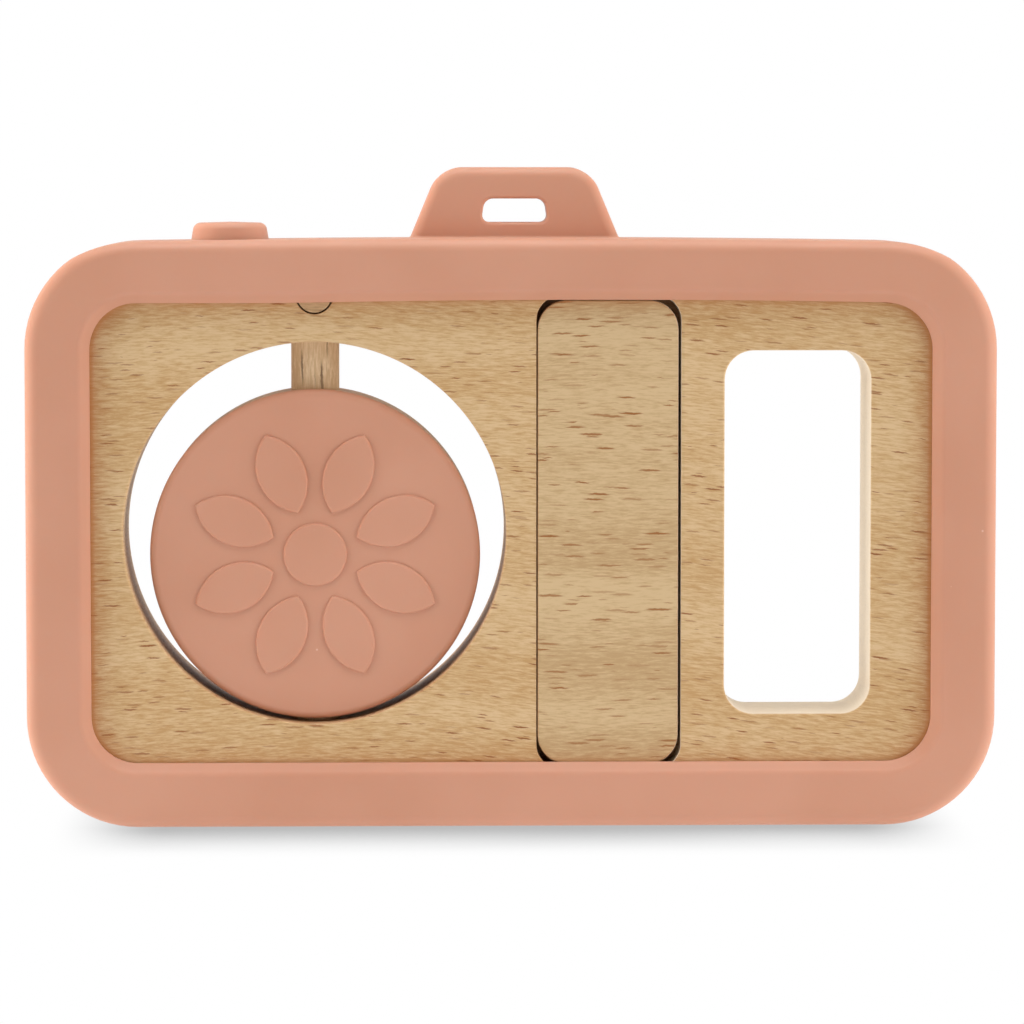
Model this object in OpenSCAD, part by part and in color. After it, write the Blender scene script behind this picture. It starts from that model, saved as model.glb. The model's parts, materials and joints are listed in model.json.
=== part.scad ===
// Toy camera: a beech plate inside a silicone bumper. A lens disc turns on a dowel in the round window,
// a knob slides in a slot in the front, and a shutter button on the top can be pressed.
// Millimetres. X runs along the width, Y from the back face to the front face, Z up.
// The origin is on the floor, under the middle of the plate.

/* [Bumper] */
// Overall width of the silicone bumper
bumper_w = 140; // [130:1:170]
// Height of the bumper, without the strap lug
bumper_h = 85; // [80:1:110]
// Radius of the bumper's outer corners
bumper_corner_r = 16; // [13:0.5:22]
// Thickness of the wall around the plate's edge
bumper_wall = 3; // [2.4:0.1:4]
// Width of the lips over the plate's faces
lip_w = 9.3; // [7:0.1:10.5]
// Thickness of the lips
lip_t = 2.2; // [1.6:0.1:3]
// Rounding of the bumper's outer edges
bumper_edge_r = 2; // [0.8:0.1:3]
// Rounding of the lips' inner edges
lip_edge_r = 1; // [0.4:0.1:1.4]

/* [Strap lug] */
// Width of the lug where it leaves the bumper
lug_base_w = 31; // [26:0.5:40]
// Width of the lug along its top, corners included
lug_top_w = 22.4; // [18:0.2:26]
// Height of the lug above the bumper
lug_h = 10.4; // [9:0.1:14]
// Thickness of the lug from back to front
lug_t = 6; // [4:0.1:10]
// Radius of the lug's two top corners
lug_corner_r = 4.4; // [2:0.1:5]
// Width of the strap slot along its bottom
strap_slot_w = 9.2; // [7:0.1:12]
// Width of the strap slot along its top, corners included
strap_slot_top_w = 7.6; // [6:0.1:9]
// Height of the strap slot
strap_slot_h = 3.5; // [3:0.1:4.5]
// Radius of the strap slot's corners
strap_slot_r = 1.1; // [0.6:0.1:1.4]
// Height of the strap slot's middle above the bumper
strap_slot_z = 4.3; // [3.6:0.1:5]

/* [Beech plate] */
// Thickness of the plate
plate_t = 16; // [14:0.5:20]
// Wood left above and below the round window
bridge_h = 11.85; // [9:0.05:16]
// Wood left between the cover's pocket and the viewfinder window
viewfinder_web = 6.3; // [3:0.1:9]
// Width of the viewfinder window
viewfinder_w = 21.1; // [16:0.1:24]
// Height of the viewfinder window
viewfinder_h = 52.6; // [40:0.2:56]
// Corner radius of the viewfinder window
viewfinder_r = 4.2; // [2:0.1:7]

/* [Lens] */
// Distance from the middle to the lens axis
lens_x = 28.4; // [26:0.1:30]
// Gap all round the disc when it is in the middle of the round window
disc_play = 3.6; // [2:0.1:8]
// Diameter of the dowel that carries the disc
axle_d = 7; // [6:0.1:7.4]
// Depth of the dowel's seat under the window
axle_seat = 7; // [4:0.5:9]
// Diameter of the dowel's neck, where the peg holds it
axle_neck_d = 4.4; // [3.4:0.1:5]
// Wood left between the dowel's bore and each face of the disc's core
core_wall = 1.1; // [0.8:0.1:2]
// Thickness of the silicone cap on each face of the disc
cap_t = 1.5; // [1.2:0.1:2]
// Rounding of each cap's rim
cap_edge_r = 1; // [0.4:0.1:1.3]
// Diameter of the peg that locks the dowel
peg_d = 5; // [4:0.1:5.4]

/* [Slider] */
// Wood left between the round window and the cover's pocket
slider_web = 4.35; // [2:0.05:8]
// Width of the back cover
cover_w = 20.3; // [19:0.1:21]
// How far each end of the back cover reaches under the bumper's lip
cover_under_lip = 0.4; // [0.2:0.1:3]
// Thickness of the back cover
cover_t = 5; // [4:0.1:6]
// Corner radius of the back cover
cover_r = 4.3; // [3:0.1:6]
// Wood left in front of the slider's channel
front_wall_t = 5; // [4:0.1:6]
// How far the knob slides
slider_travel = 36; // [24:1:38]
// Diameter of the knob's stem
stem_d = 8; // [6:0.1:9]
// Diameter of the knob's head
knob_d = 14; // [12:0.1:18]
// Height of the knob's head
knob_h = 6.5; // [5:0.1:8]
// Width of the shoe behind the front wall
shoe_w = 14.6; // [13:0.1:16]
// Height of the shoe
shoe_h = 14; // [12:0.1:16]

/* [Shutter button] */
// Wood left between the dowel's bore and the button's well
button_web = 1.35; // [0.8:0.05:6]
// Diameter of the button at its foot
button_base_d = 12.2; // [10:0.1:12.4]
// Diameter of the button across its top
button_top_d = 10.4; // [8:0.1:10.6]
// Height of the button above the bumper
button_h = 2.3; // [2:0.1:4]
// How far the button can be pressed
button_travel = 1.5; // [0.8:0.1:1.8]
// Room left under the button when it is pressed
dome_pressed_h = 1.9; // [1.5:0.1:3]

/* [Hidden] */
$fn = 96;

// Colours of the woods and of the silicone
beech_colour = "#c9a678";
cover_colour = "#c9ac86";
dowel_colour = "#b89670";
silicone_colour = "#cb9479";

// Clearances, and how far a cut runs past what it cuts
plate_fit = 0.05;
axle_fit = 0.05;
peg_fit = 0.1;
stud_fit = 0.05;
cover_side_fit = 0.3;
cover_end_fit = 0.6;
cover_corner_fit = 0.8;
slide_fit = 0.3;
spin_fit = 0.2;
button_fit = 0.3;
overrun = 1;

// Plate and bumper
plate_w = bumper_w - 2 * (bumper_wall + plate_fit);
plate_h = bumper_h - 2 * (bumper_wall + plate_fit);
plate_corner_r = bumper_corner_r - bumper_wall - plate_fit;
bumper_t = plate_t + 2 * (lip_t + plate_fit);
middle_z = bumper_h / 2;
plate_top_z = middle_z + plate_h / 2;
plate_back_y = -plate_t / 2;
plate_front_y = plate_t / 2;
window_r = plate_h / 2 - bridge_h;

// Strap lug: its root is sunk into the bumper's wall
lug_root = bumper_wall / 2;
lug_slope = (lug_base_w - lug_top_w) / 2 / lug_h;

// Dowel, and the core of the disc that turns on it
axle_r = axle_d / 2;
axle_bore_r = axle_r + axle_fit;
core_t = 2 * (axle_bore_r + core_wall);
axle_foot_z = middle_z - window_r - axle_seat;
axle_top_gap = 0.6;
axle_top_z = plate_top_z - axle_top_gap;

// Lens disc: it hangs as low in its window as still lets the flat of its rim turn there
disc_r = window_r - disc_play;
rim_half_t = core_t / 2 + cap_t - cap_edge_r;
disc_gap = window_r - sqrt(window_r * window_r - rim_half_t * rim_half_t) + spin_fit;
disc_drop = disc_play - disc_gap;
disc_z = middle_z - disc_drop;

// Lock peg: about half way up the bridge of wood above the window, with its tip in the dowel's neck
peg_rise_share = 0.53;
bridge_low_z = middle_z + window_r;
peg_z = bridge_low_z + (plate_top_z - bridge_low_z) * peg_rise_share;
peg_tip_gap = 0.3;
peg_l = plate_t / 2 - axle_neck_d / 2 - peg_tip_gap;
neck_h = peg_d + 2 * slide_fit;

// Studs that hold each cap in the disc's core
stud_count = 4;
stud_r = 2;
stud_l = 2.2;
stud_circle_share = 0.62;
stud_circle_r = disc_r * stud_circle_share;

// Daisy in low relief on the back cap
relief_h = 0.4;
petal_count = 8;
petal_inner_share = 0.27;
petal_outer_share = 0.78;
petal_width_share = 0.29;
daisy_eye_share = 0.19;

// Lens rings and a low dome on the front cap
ring_outer_shares = [0.88, 0.6];
ring_width_share = 0.08;
glass_r_share = 0.4;
glass_rise_share = 0.04;

// Slider: the channel for the shoe is narrower than the pocket, and so leaves a ledge for the cover.
// The pocket's corners are tighter than the cover's, so a gap shows there.
cover_h = bumper_h - 2 * (lip_w - cover_under_lip);
pocket_w = cover_w + 2 * cover_side_fit;
pocket_h = cover_h + 2 * cover_end_fit;
pocket_r = cover_r - cover_corner_fit;
channel_w = shoe_w + 2 * slide_fit;
channel_h = slider_travel + shoe_h + 2 * slide_fit;
channel_t = plate_t - cover_t - front_wall_t;
channel_back_y = plate_back_y + cover_t;
channel_front_y = plate_front_y - front_wall_t;
channel_r = 2;
slot_w = stem_d + 2 * slide_fit;
slot_h = slider_travel + stem_d + 2 * slide_fit;
slider_rest_z = middle_z - slider_travel / 2;
shoe_t = channel_t - 2 * slide_fit;
shoe_back_y = channel_back_y + slide_fit;
shoe_front_y = shoe_back_y + shoe_t;
tenon_share = 0.6;
tenon_r = stem_d / 2 * tenon_share;
knob_edge_share = 0.4;
knob_edge_r = knob_h * knob_edge_share;
knob_back_y = plate_front_y + slide_fit;

// Along the plate, each opening starts one web of wood after the opening before it
slider_x = window_r - lens_x + slider_web + pocket_w / 2;
viewfinder_x = slider_x + pocket_w / 2 + viewfinder_web + viewfinder_w / 2;

// Shutter button: a flange under the bumper's wall keeps it in
flange_over = 1;
flange_t = 1.2;
flange_r = button_base_d / 2 + flange_over;
well_r = flange_r + button_fit;
button_x = lens_x + axle_bore_r + button_web + well_r;
dome_h = dome_pressed_h + button_travel;
well_floor_z = plate_top_z - flange_t - dome_h;
button_edge_r = 0.8;
dome_wall = 1;
dome_foot_share = 0.82;
dome_top_share = 0.6;

// Flat rounded rectangle about the origin, with true arcs
module rounded_rect(w, h, r) {
    square([w - 2 * r, h], center = true);
    square([w, h - 2 * r], center = true);
    for (sx = [-1, 1], sz = [-1, 1])
        translate([sx * (w / 2 - r), sz * (h / 2 - r)]) circle(r);
}

// Flat slot about the origin, with half-round ends
module round_slot(w, h) {
    square([w, h - w], center = true);
    for (s = [-1, 1]) translate([0, s * (h - w) / 2]) circle(w / 2);
}

// Flat trapezium standing on y = 0, with its two top corners rounded
module tapered_tab(base_w, top_w, h, r) {
    lean = atan((base_w - top_w) / 2 / h);
    corner_x = top_w / 2 - r * tan((90 - lean) / 2);
    side = [corner_x + r * cos(lean), h - r + r * sin(lean)];
    polygon([[-base_w / 2, 0], [base_w / 2, 0], side, [corner_x, h], [-corner_x, h], [-side[0], side[1]]]);
    for (s = [-1, 1]) translate([s * corner_x, h - r]) circle(r);
}

// Extrudes an outline drawn in X and Z from one Y to another
module slab(from_y, to_y) {
    translate([0, to_y, 0]) rotate([90, 0, 0]) linear_extrude(to_y - from_y) children();
}

// Round rod along Y
module rod_y(r, from_y, to_y) {
    translate([0, to_y, 0]) rotate([90, 0, 0]) cylinder(r = r, h = to_y - from_y);
}

// Upright round rod
module rod_z(r, from_z, to_z) {
    translate([0, 0, from_z]) cylinder(r = r, h = to_z - from_z);
}

// Round disc on z = 0, with its upper edge rounded
module puck(r, h, edge_r) {
    rotate_extrude() {
        square([r - edge_r, h]);
        square([r, h - edge_r]);
        translate([r - edge_r, h - edge_r]) intersection() {
            circle(edge_r);
            square(edge_r);
        }
    }
}

// Leaf outline between two equal arcs, l long and w wide
module petal(l, w) {
    r = (l * l + w * w) / (4 * w);
    intersection() {
        translate([r - w / 2, 0]) circle(r);
        translate([w / 2 - r, 0]) circle(r);
    }
}

// Beech plate

module window_cut() {
    translate([-lens_x, 0, middle_z])
        rod_y(window_r, plate_back_y - overrun, plate_front_y + overrun);
}

module viewfinder_cut() {
    translate([viewfinder_x, 0, middle_z]) slab(plate_back_y - overrun, plate_front_y + overrun)
        rounded_rect(viewfinder_w, viewfinder_h, viewfinder_r);
}

// Pocket for the cover, channel for the shoe and slot for the stem, one behind another
module slider_cut() {
    translate([slider_x, 0, middle_z]) {
        slab(plate_back_y - overrun, channel_back_y) rounded_rect(pocket_w, pocket_h, pocket_r);
        slab(plate_back_y, channel_front_y) rounded_rect(channel_w, channel_h, channel_r);
        slab(plate_back_y, plate_front_y + overrun) round_slot(slot_w, slot_h);
    }
}

// Bore for the dowel, drilled from the top edge, and the hole for its lock peg
module axle_cut() {
    translate([-lens_x, 0, 0]) {
        rod_z(axle_bore_r, axle_foot_z - slide_fit, plate_top_z + overrun);
        translate([0, 0, peg_z]) rod_y(peg_d / 2 + peg_fit, plate_back_y - overrun, 0);
    }
}

// Well for the button's flange and the cone under it
module button_well(top_z) {
    translate([-button_x, 0, 0]) rod_z(well_r, well_floor_z, top_z);
}

module body_plate() {
    color(beech_colour) difference() {
        translate([0, 0, middle_z]) slab(plate_back_y, plate_front_y)
            rounded_rect(plate_w, plate_h, plate_corner_r);
        window_cut();
        viewfinder_cut();
        slider_cut();
        axle_cut();
        button_well(plate_top_z + overrun);
    }
}

// Silicone bumper

// Section of the bumper: x runs out from a corner's centre, y from back to front
module bumper_section() {
    inner_x = bumper_corner_r - lip_w;
    difference() {
        union() {
            translate([inner_x, -bumper_t / 2 + lip_edge_r])
                square([lip_w, bumper_t - 2 * lip_edge_r]);
            translate([inner_x + lip_edge_r, -bumper_t / 2])
                square([lip_w - lip_edge_r, bumper_t]);
            for (s = [-1, 1])
                translate([inner_x + lip_edge_r, s * (bumper_t / 2 - lip_edge_r)]) circle(lip_edge_r);
        }
        translate([inner_x - overrun, -plate_t / 2 - plate_fit])
            square([lip_w - bumper_wall + overrun, plate_t + 2 * plate_fit]);
        for (s = [-1, 1]) translate([bumper_corner_r, s * bumper_t / 2]) edge_notch(bumper_edge_r);
    }
}

// What rounding takes off a square outer edge at the origin
module edge_notch(r) {
    difference() {
        square(2 * r, center = true);
        for (s = [-1, 1]) translate([-r, s * r]) circle(r);
    }
}

// Straight run of the bumper, from a corner's centre along +X
module bumper_run(l) {
    rotate([90, 0, 90]) linear_extrude(l) rotate(90) mirror([0, 1]) bumper_section();
}

module bumper_ring() {
    run_w = bumper_w - 2 * bumper_corner_r;
    run_h = bumper_h - 2 * bumper_corner_r;
    for (turn = [0 : 3]) {
        across = turn % 2 == 0 ? run_w : run_h;
        along = turn % 2 == 0 ? run_h : run_w;
        rotate([0, turn * 90, 0]) translate([-across / 2, 0, along / 2]) {
            bumper_run(across);
            translate([across, 0, 0]) rotate([90, 0, 0]) rotate_extrude(angle = 90) bumper_section();
        }
    }
}

module strap_lug() {
    root_w = lug_base_w + 2 * lug_root * lug_slope;
    slot_low_z = lug_root + strap_slot_z - strap_slot_h / 2;
    translate([0, 0, bumper_h - lug_root]) slab(-lug_t / 2, lug_t / 2) difference() {
        tapered_tab(root_w, lug_top_w, lug_h + lug_root, lug_corner_r);
        translate([0, slot_low_z]) strap_slot();
    }
}

// Slot outline standing on y = 0, with all four corners rounded
module strap_slot() {
    low_x = strap_slot_w / 2 - strap_slot_r;
    translate([0, strap_slot_r])
        tapered_tab(strap_slot_w, strap_slot_top_w, strap_slot_h - strap_slot_r, strap_slot_r);
    translate([-low_x, 0]) square([2 * low_x, strap_slot_r]);
    for (s = [-1, 1]) translate([s * low_x, strap_slot_r]) circle(strap_slot_r);
}

module bumper() {
    color(silicone_colour) difference() {
        union() {
            translate([0, 0, middle_z]) bumper_ring();
            strap_lug();
        }
        translate([-button_x, 0, 0])
            rod_z(button_base_d / 2 + button_fit, plate_top_z - overrun, bumper_h + overrun);
        // A well wider than the plate is thick runs into the lips as well
        button_well(plate_top_z);
    }
}

// Back cover and lock peg

module back_cover() {
    color(cover_colour) translate([slider_x, 0, middle_z]) slab(plate_back_y, channel_back_y)
        rounded_rect(cover_w, cover_h, cover_r);
}

module axle_peg() {
    color(dowel_colour) translate([-lens_x, 0, peg_z]) rod_y(peg_d / 2, plate_back_y, plate_back_y + peg_l);
}

// Lens disc and its dowel

module lens_axle() {
    neck_low_z = peg_z - neck_h / 2;
    color(dowel_colour) translate([-lens_x, 0, 0]) {
        rod_z(axle_r, axle_foot_z, neck_low_z);
        rod_z(axle_neck_d / 2, axle_foot_z, axle_top_z);
        rod_z(axle_r, neck_low_z + neck_h, axle_top_z);
    }
}

// Places one thing at each stud's centre, drawn in the plane of the disc
module at_studs() {
    for (i = [0 : stud_count - 1])
        rotate((i + 1 / 2) * 360 / stud_count) translate([stud_circle_r, 0]) children();
}

module lens_core() {
    color(beech_colour) translate([-lens_x, 0, disc_z]) difference() {
        rod_y(disc_r, -core_t / 2, core_t / 2);
        rod_z(axle_bore_r, -disc_r - overrun, disc_r + overrun);
        for (side = [-1, 1]) rotate([side * 90, 0, 0]) translate([0, 0, core_t / 2 - stud_l - stud_fit])
            linear_extrude(stud_l + stud_fit + overrun) at_studs() circle(stud_r + stud_fit);
    }
}

// Cap without its relief: a round pad on z = 0 with a rounded rim, and the studs behind it
module cap_pad() {
    puck(disc_r, cap_t, cap_edge_r);
    translate([0, 0, -stud_l]) linear_extrude(stud_l) at_studs() circle(stud_r);
}

module daisy() {
    petal_l = disc_r * (petal_outer_share - petal_inner_share);
    linear_extrude(cap_t + relief_h) {
        circle(disc_r * daisy_eye_share);
        for (i = [0 : petal_count - 1])
            rotate((i + 1 / 2) * 360 / petal_count)
                translate([0, disc_r * petal_inner_share + petal_l / 2])
                    petal(petal_l, disc_r * petal_width_share);
    }
}

// Raised rings with a low round dome in the middle
module lens_relief() {
    glass_r = disc_r * glass_r_share;
    glass_rise = disc_r * glass_rise_share;
    glass_sphere_r = (glass_r * glass_r + glass_rise * glass_rise) / (2 * glass_rise);
    for (share = ring_outer_shares) linear_extrude(cap_t + relief_h) difference() {
        circle(disc_r * share);
        circle(disc_r * (share - ring_width_share));
    }
    intersection() {
        translate([0, 0, cap_t + glass_rise - glass_sphere_r]) sphere(glass_sphere_r);
        cylinder(r = glass_r, h = cap_t + glass_rise);
    }
}

// Turns a cap made on z = 0 to the back (side = 1) or the front (side = -1) of the core
module on_core(side) {
    translate([-lens_x, -side * core_t / 2, disc_z]) rotate([side * 90, 0, 0]) children();
}

module lens_back_cap() {
    color(silicone_colour) on_core(1) {
        cap_pad();
        daisy();
    }
}

module lens_front_cap() {
    color(silicone_colour) on_core(-1) {
        cap_pad();
        lens_relief();
    }
}

// Slider

module slider_shoe() {
    color(dowel_colour) translate([slider_x, 0, slider_rest_z]) difference() {
        slab(shoe_back_y, shoe_front_y) rounded_rect(shoe_w, shoe_h, channel_r);
        rod_y(tenon_r + stud_fit, shoe_back_y - overrun, shoe_front_y + overrun);
    }
}

module slider_knob() {
    color(beech_colour) translate([slider_x, 0, slider_rest_z]) {
        rod_y(tenon_r, shoe_back_y, shoe_front_y);
        rod_y(stem_d / 2, shoe_front_y, knob_back_y);
        translate([0, knob_back_y, 0]) rotate([-90, 0, 0]) puck(knob_d / 2, knob_h, knob_edge_r);
    }
}

// Shutter button

module shutter_button() {
    color(silicone_colour) translate([-button_x, 0, plate_top_z]) {
        rod_z(flange_r, -flange_t, 0);
        rod_z(button_base_d / 2, -flange_t, bumper_h - plate_top_z);
        translate([0, 0, bumper_h - plate_top_z]) rotate_extrude() button_section();
    }
}

// Half section of the button above the bumper: sloping side and rounded rim
module button_section() {
    intersection() {
        tapered_tab(button_base_d, button_top_d, button_h, button_edge_r);
        square([button_base_d / 2, button_h]);
    }
}

// Hollow cone under the button, standing on the floor of its well
module button_dome() {
    foot_r = flange_r * dome_foot_share;
    top_r = flange_r * dome_top_share;
    color(silicone_colour) translate([-button_x, 0, well_floor_z]) rotate_extrude()
        polygon([[foot_r - dome_wall, 0], [foot_r, 0], [top_r, dome_h], [top_r - dome_wall, dome_h]]);
}

body_plate();
bumper();
back_cover();
axle_peg();
lens_axle();
lens_core();
lens_back_cap();
lens_front_cap();
slider_shoe();
slider_knob();
shutter_button();
button_dome();
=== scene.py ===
"""Looks of a wooden toy camera in a silicone bumper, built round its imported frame.

Places and outer sizes come from the frame. Sizes that the frame doesn't hold are properties of the scene.
All lengths are in metres: X runs along the width, -Y is the back that the camera faces, Z is up.
"""

import json
import math
from functools import partial

import bmesh
import bpy
from bpy.props import FloatProperty, FloatVectorProperty, IntProperty, PointerProperty
from mathutils import Matrix, Vector


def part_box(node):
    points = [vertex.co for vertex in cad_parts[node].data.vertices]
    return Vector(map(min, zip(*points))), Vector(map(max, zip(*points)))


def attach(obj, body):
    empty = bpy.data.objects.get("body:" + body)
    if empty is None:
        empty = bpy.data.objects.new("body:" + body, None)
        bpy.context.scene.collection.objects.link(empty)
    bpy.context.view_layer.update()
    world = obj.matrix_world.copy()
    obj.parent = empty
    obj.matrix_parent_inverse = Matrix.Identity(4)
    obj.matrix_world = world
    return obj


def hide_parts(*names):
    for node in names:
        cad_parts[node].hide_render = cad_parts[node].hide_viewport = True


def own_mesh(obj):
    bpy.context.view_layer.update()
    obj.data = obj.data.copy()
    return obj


bl_info = {
    "name": "Toy camera",
    "version": (1, 0, 0),
    "blender": (4, 5, 0),
    "location": "3D View > Sidebar > Toy camera",
    "description": "Builds a wooden toy camera in a silicone bumper on its packed frame",
    "category": "Object",
}

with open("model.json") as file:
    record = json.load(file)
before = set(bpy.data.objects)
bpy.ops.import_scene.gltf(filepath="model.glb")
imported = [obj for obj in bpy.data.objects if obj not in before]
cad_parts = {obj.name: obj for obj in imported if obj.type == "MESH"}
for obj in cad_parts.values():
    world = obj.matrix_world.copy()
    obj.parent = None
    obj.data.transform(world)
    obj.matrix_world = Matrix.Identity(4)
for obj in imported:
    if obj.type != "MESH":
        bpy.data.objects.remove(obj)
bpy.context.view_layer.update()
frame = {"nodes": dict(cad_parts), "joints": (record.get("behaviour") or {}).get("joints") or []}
MM = 0.001
# Distance under which two points count as one
TINY = 1e-6
QUARTER_TURN = math.radians(90)
# Edges that turn by more than the first count as corners, and those by more than the second look sharp
CORNER_ANGLE, SHARP_ANGLE = math.radians(30), math.radians(40)
# Steps of the bumper's section along each side and round each corner
RING_STEPS = 18
# Half the width of the white floor
FLOOR_REACH = 20

# Places that several pieces share, read from the frame
PLATE_LOW, PLATE_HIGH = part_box("body_plate")
BUMPER_LOW, BUMPER_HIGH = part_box("bumper")
COVER_LOW, COVER_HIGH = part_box("back_cover")
AXLE_LOW, AXLE_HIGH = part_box("lens_axle")
PEG_LOW, PEG_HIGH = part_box("axle_peg")
CORE_LOW, CORE_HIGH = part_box("lens_core")
SHOE_LOW, SHOE_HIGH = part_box("slider_shoe")
KNOB_LOW, KNOB_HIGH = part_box("slider_knob")
BUTTON_LOW, BUTTON_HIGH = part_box("shutter_button")
CONE_LOW, CONE_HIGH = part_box("button_dome")
DAISY_TOP_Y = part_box("lens_back_cap")[0].y
DOME_TOP_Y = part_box("lens_front_cap")[1].y
TRAVEL = {joint["name"]: joint.get("range_m", [0, 0])[1] for joint in frame["joints"]}
PLATE_MIDDLE = (PLATE_LOW + PLATE_HIGH) / 2
RING_TOP = PLATE_LOW.z + PLATE_HIGH.z
SLIDER_X = (COVER_LOW.x + COVER_HIGH.x) / 2
LENS_X = (AXLE_LOW.x + AXLE_HIGH.x) / 2
BUTTON_X = (BUTTON_LOW.x + BUTTON_HIGH.x) / 2
PEG_Z = (PEG_LOW.z + PEG_HIGH.z) / 2
SHOE_Z = (SHOE_LOW.z + SHOE_HIGH.z) / 2
AXLE_RADIUS = (AXLE_HIGH.x - AXLE_LOW.x) / 2
PEG_RADIUS = (PEG_HIGH.x - PEG_LOW.x) / 2
CORE_RADIUS = (CORE_HIGH.x - CORE_LOW.x) / 2
FLANGE_RADIUS = (BUTTON_HIGH.x - BUTTON_LOW.x) / 2


def linear(hex_colour):
    """Linear red, green, blue and alpha of an sRGB hex colour."""
    channels = [int(hex_colour[i:i + 2], 16) / 255 for i in (1, 3, 5)]
    return tuple(c / 12.92 if c <= 0.04045 else ((c + 0.055) / 1.055) ** 2.4 for c in channels) + (1.0,)


def size(name, description, millimetres):
    """A length that a user can change, given in millimetres."""
    return FloatProperty(name=name, description=description, default=millimetres * MM, min=0, precision=5,
                         subtype="DISTANCE", unit="LENGTH")


def colour(name, description, hex_colour):
    """A colour that a user can change, given as sRGB hex."""
    return FloatVectorProperty(name=name, description=description, default=linear(hex_colour), size=4,
                               min=0, max=1, subtype="COLOR")


def brightness(name, description, strength, unit="NONE"):
    """The strength or power of a light that a user can change."""
    return FloatProperty(name=name, description=description, default=strength, min=0, unit=unit)


class BumperSizes(bpy.types.PropertyGroup):
    """Sizes of the silicone ring round the plate."""

    corner_radius: size("Corner radius", "Radius of the ring's outer corners", 16)
    wall: size("Wall", "Thickness of the wall round the plate's edge", 3)
    lip_width: size("Lip width", "Width of the lips over the plate's faces", 9.3)
    lip_thickness: size("Lip thickness", "Thickness of the lips", 2.2)
    edge_radius: size("Edge radius", "Rounding of the ring's outer edges", 2)
    lip_chamfer: size("Lip chamfer", "Width of the slope along the lips' inner edges", 1.4)
    lip_radius: size("Lip radius", "Rounding where that slope leaves the lips' faces", 0.45)
    lip_foot: size("Lip foot", "Height of the lips' straight foot on the wood", 0.7)
    rim_radius: size("Rim radius", "Rounding of the button hole's rim", 0.3)
    top_bow: size("Top bow", "How much higher the soft top is in its middle than at the corners", 0.7)
    lip_bow: size("Lip bow", "How far the top lips' inner edges rise in their middle", 0.45)
    lip_bow_x: size("Lip bow place", "Where along the width they rise most", 12)
    lip_bow_reach: size("Lip bow reach", "Distance from there to where they are straight again", 45)
    button_gap: size("Button gap", "Gap round the shutter button", 0.3)


class LugSizes(bpy.types.PropertyGroup):
    """Sizes of the strap lug on the bumper."""

    base_width: size("Base width", "Width where the lug leaves the bumper", 30.3)
    top_width: size("Top width", "Width along the top, corners included", 21.8)
    thickness: size("Thickness", "Thickness from back to front", 6)
    sink: size("Sink", "How far the soft lug has sunk below its moulded height", 0.2)
    shift: size("Shift", "How far the lug sits off the middle, towards the viewfinder", 0.55)
    corner_radius: size("Corner radius", "Radius of the two top corners", 4.8)
    edge_radius: size("Edge radius", "Rounding of the lug's edges", 1.5)
    root_radius: size("Root radius", "Fillet where the lug leaves the bumper", 0.35)
    slot_width: size("Slot width", "Width of the strap slot along its bottom", 9.7)
    slot_top_width: size("Slot top width", "Width of the strap slot along its top", 8.7)
    slot_height: size("Slot height", "Height of the strap slot", 3.4)
    slot_rise: size("Slot rise", "Height of the slot's middle above the bumper", 3.95)
    slot_radius: size("Slot radius", "Radius of the slot's corners", 1.2)
    slot_rim_radius: size("Slot rim radius", "Rounding of the slot's rim", 0.5)


class PlateSizes(bpy.types.PropertyGroup):
    """Sizes of the openings in the beech plate."""

    window_radius: size("Window radius", "Radius of the round window", 27.6)
    viewfinder_x: size("Viewfinder place", "Distance from the middle to the viewfinder's middle", 41.3)
    viewfinder_width: size("Viewfinder width", "Width of the viewfinder window", 21.1)
    viewfinder_height: size("Viewfinder height", "Height of the viewfinder window", 52.6)
    viewfinder_radius: size("Viewfinder radius", "Corner radius of the viewfinder window", 4.2)
    rim_radius: size("Rim radius", "Rounding of the windows' rims", 0.4)
    pocket_rim_radius: size("Pocket rim radius", "Rounding of the cover pocket's rim", 0.15)
    cover_side_gap: size("Cover side gap", "Gap between the cover and its pocket at the sides", 0.3)
    cover_end_gap: size("Cover end gap", "Gap between the cover and its pocket at the ends", 0.6)
    pocket_radius: size("Pocket radius", "Corner radius of the cover's pocket", 3.5)
    slide_gap: size("Slide gap", "Gap round the slider in its channel", 0.3)
    channel_radius: size("Channel radius", "Corner radius of the slider's channel", 2)
    bore_gap: size("Bore gap", "Gap round the dowel in its bore", 0.05)
    peg_gap: size("Peg gap", "Gap round the lock peg", 0.2)
    well_gap: size("Well gap", "Gap round the button's flange in its well", 0.3)


class WoodSizes(bpy.types.PropertyGroup):
    """Sizes of the small wooden pieces."""

    cover_radius: size("Cover radius", "Corner radius of the back cover", 4.3)
    cover_shift: size("Cover shift", "How far the cover sits off its pocket's middle, towards the lens", 0.12)
    cover_edge_radius: size("Cover edge radius", "Rounding of the back cover's edges", 0.25)
    dowel_chamfer: size("Dowel chamfer", "Rounding of the dowel's ends", 0.4)
    neck_diameter: size("Neck diameter", "Diameter of the dowel where the peg locks it", 4.4)
    neck_height: size("Neck height", "Height of that neck", 5.6)
    peg_chamfer: size("Peg chamfer", "Rounding of the peg's ends", 0.2)
    peg_rise: size("Peg rise", "How much higher than drawn the peg's hole was drilled", 0.4)
    core_chamfer: size("Core chamfer", "Rounding of the disc core's rims", 0.2)
    stem_diameter: size("Stem diameter", "Diameter of the knob's stem", 8)
    tenon_diameter: size("Tenon diameter", "Diameter of the tenon in the shoe", 4.8)
    knob_edge_radius: size("Knob edge radius", "Rounding of the knob's front edge", 2.6)
    knob_foot_radius: size("Knob foot radius", "Rounding of the knob's back edge", 0.7)
    knob_crown: size("Knob crown", "How far the knob's face rises in its middle", 0.5)


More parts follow.
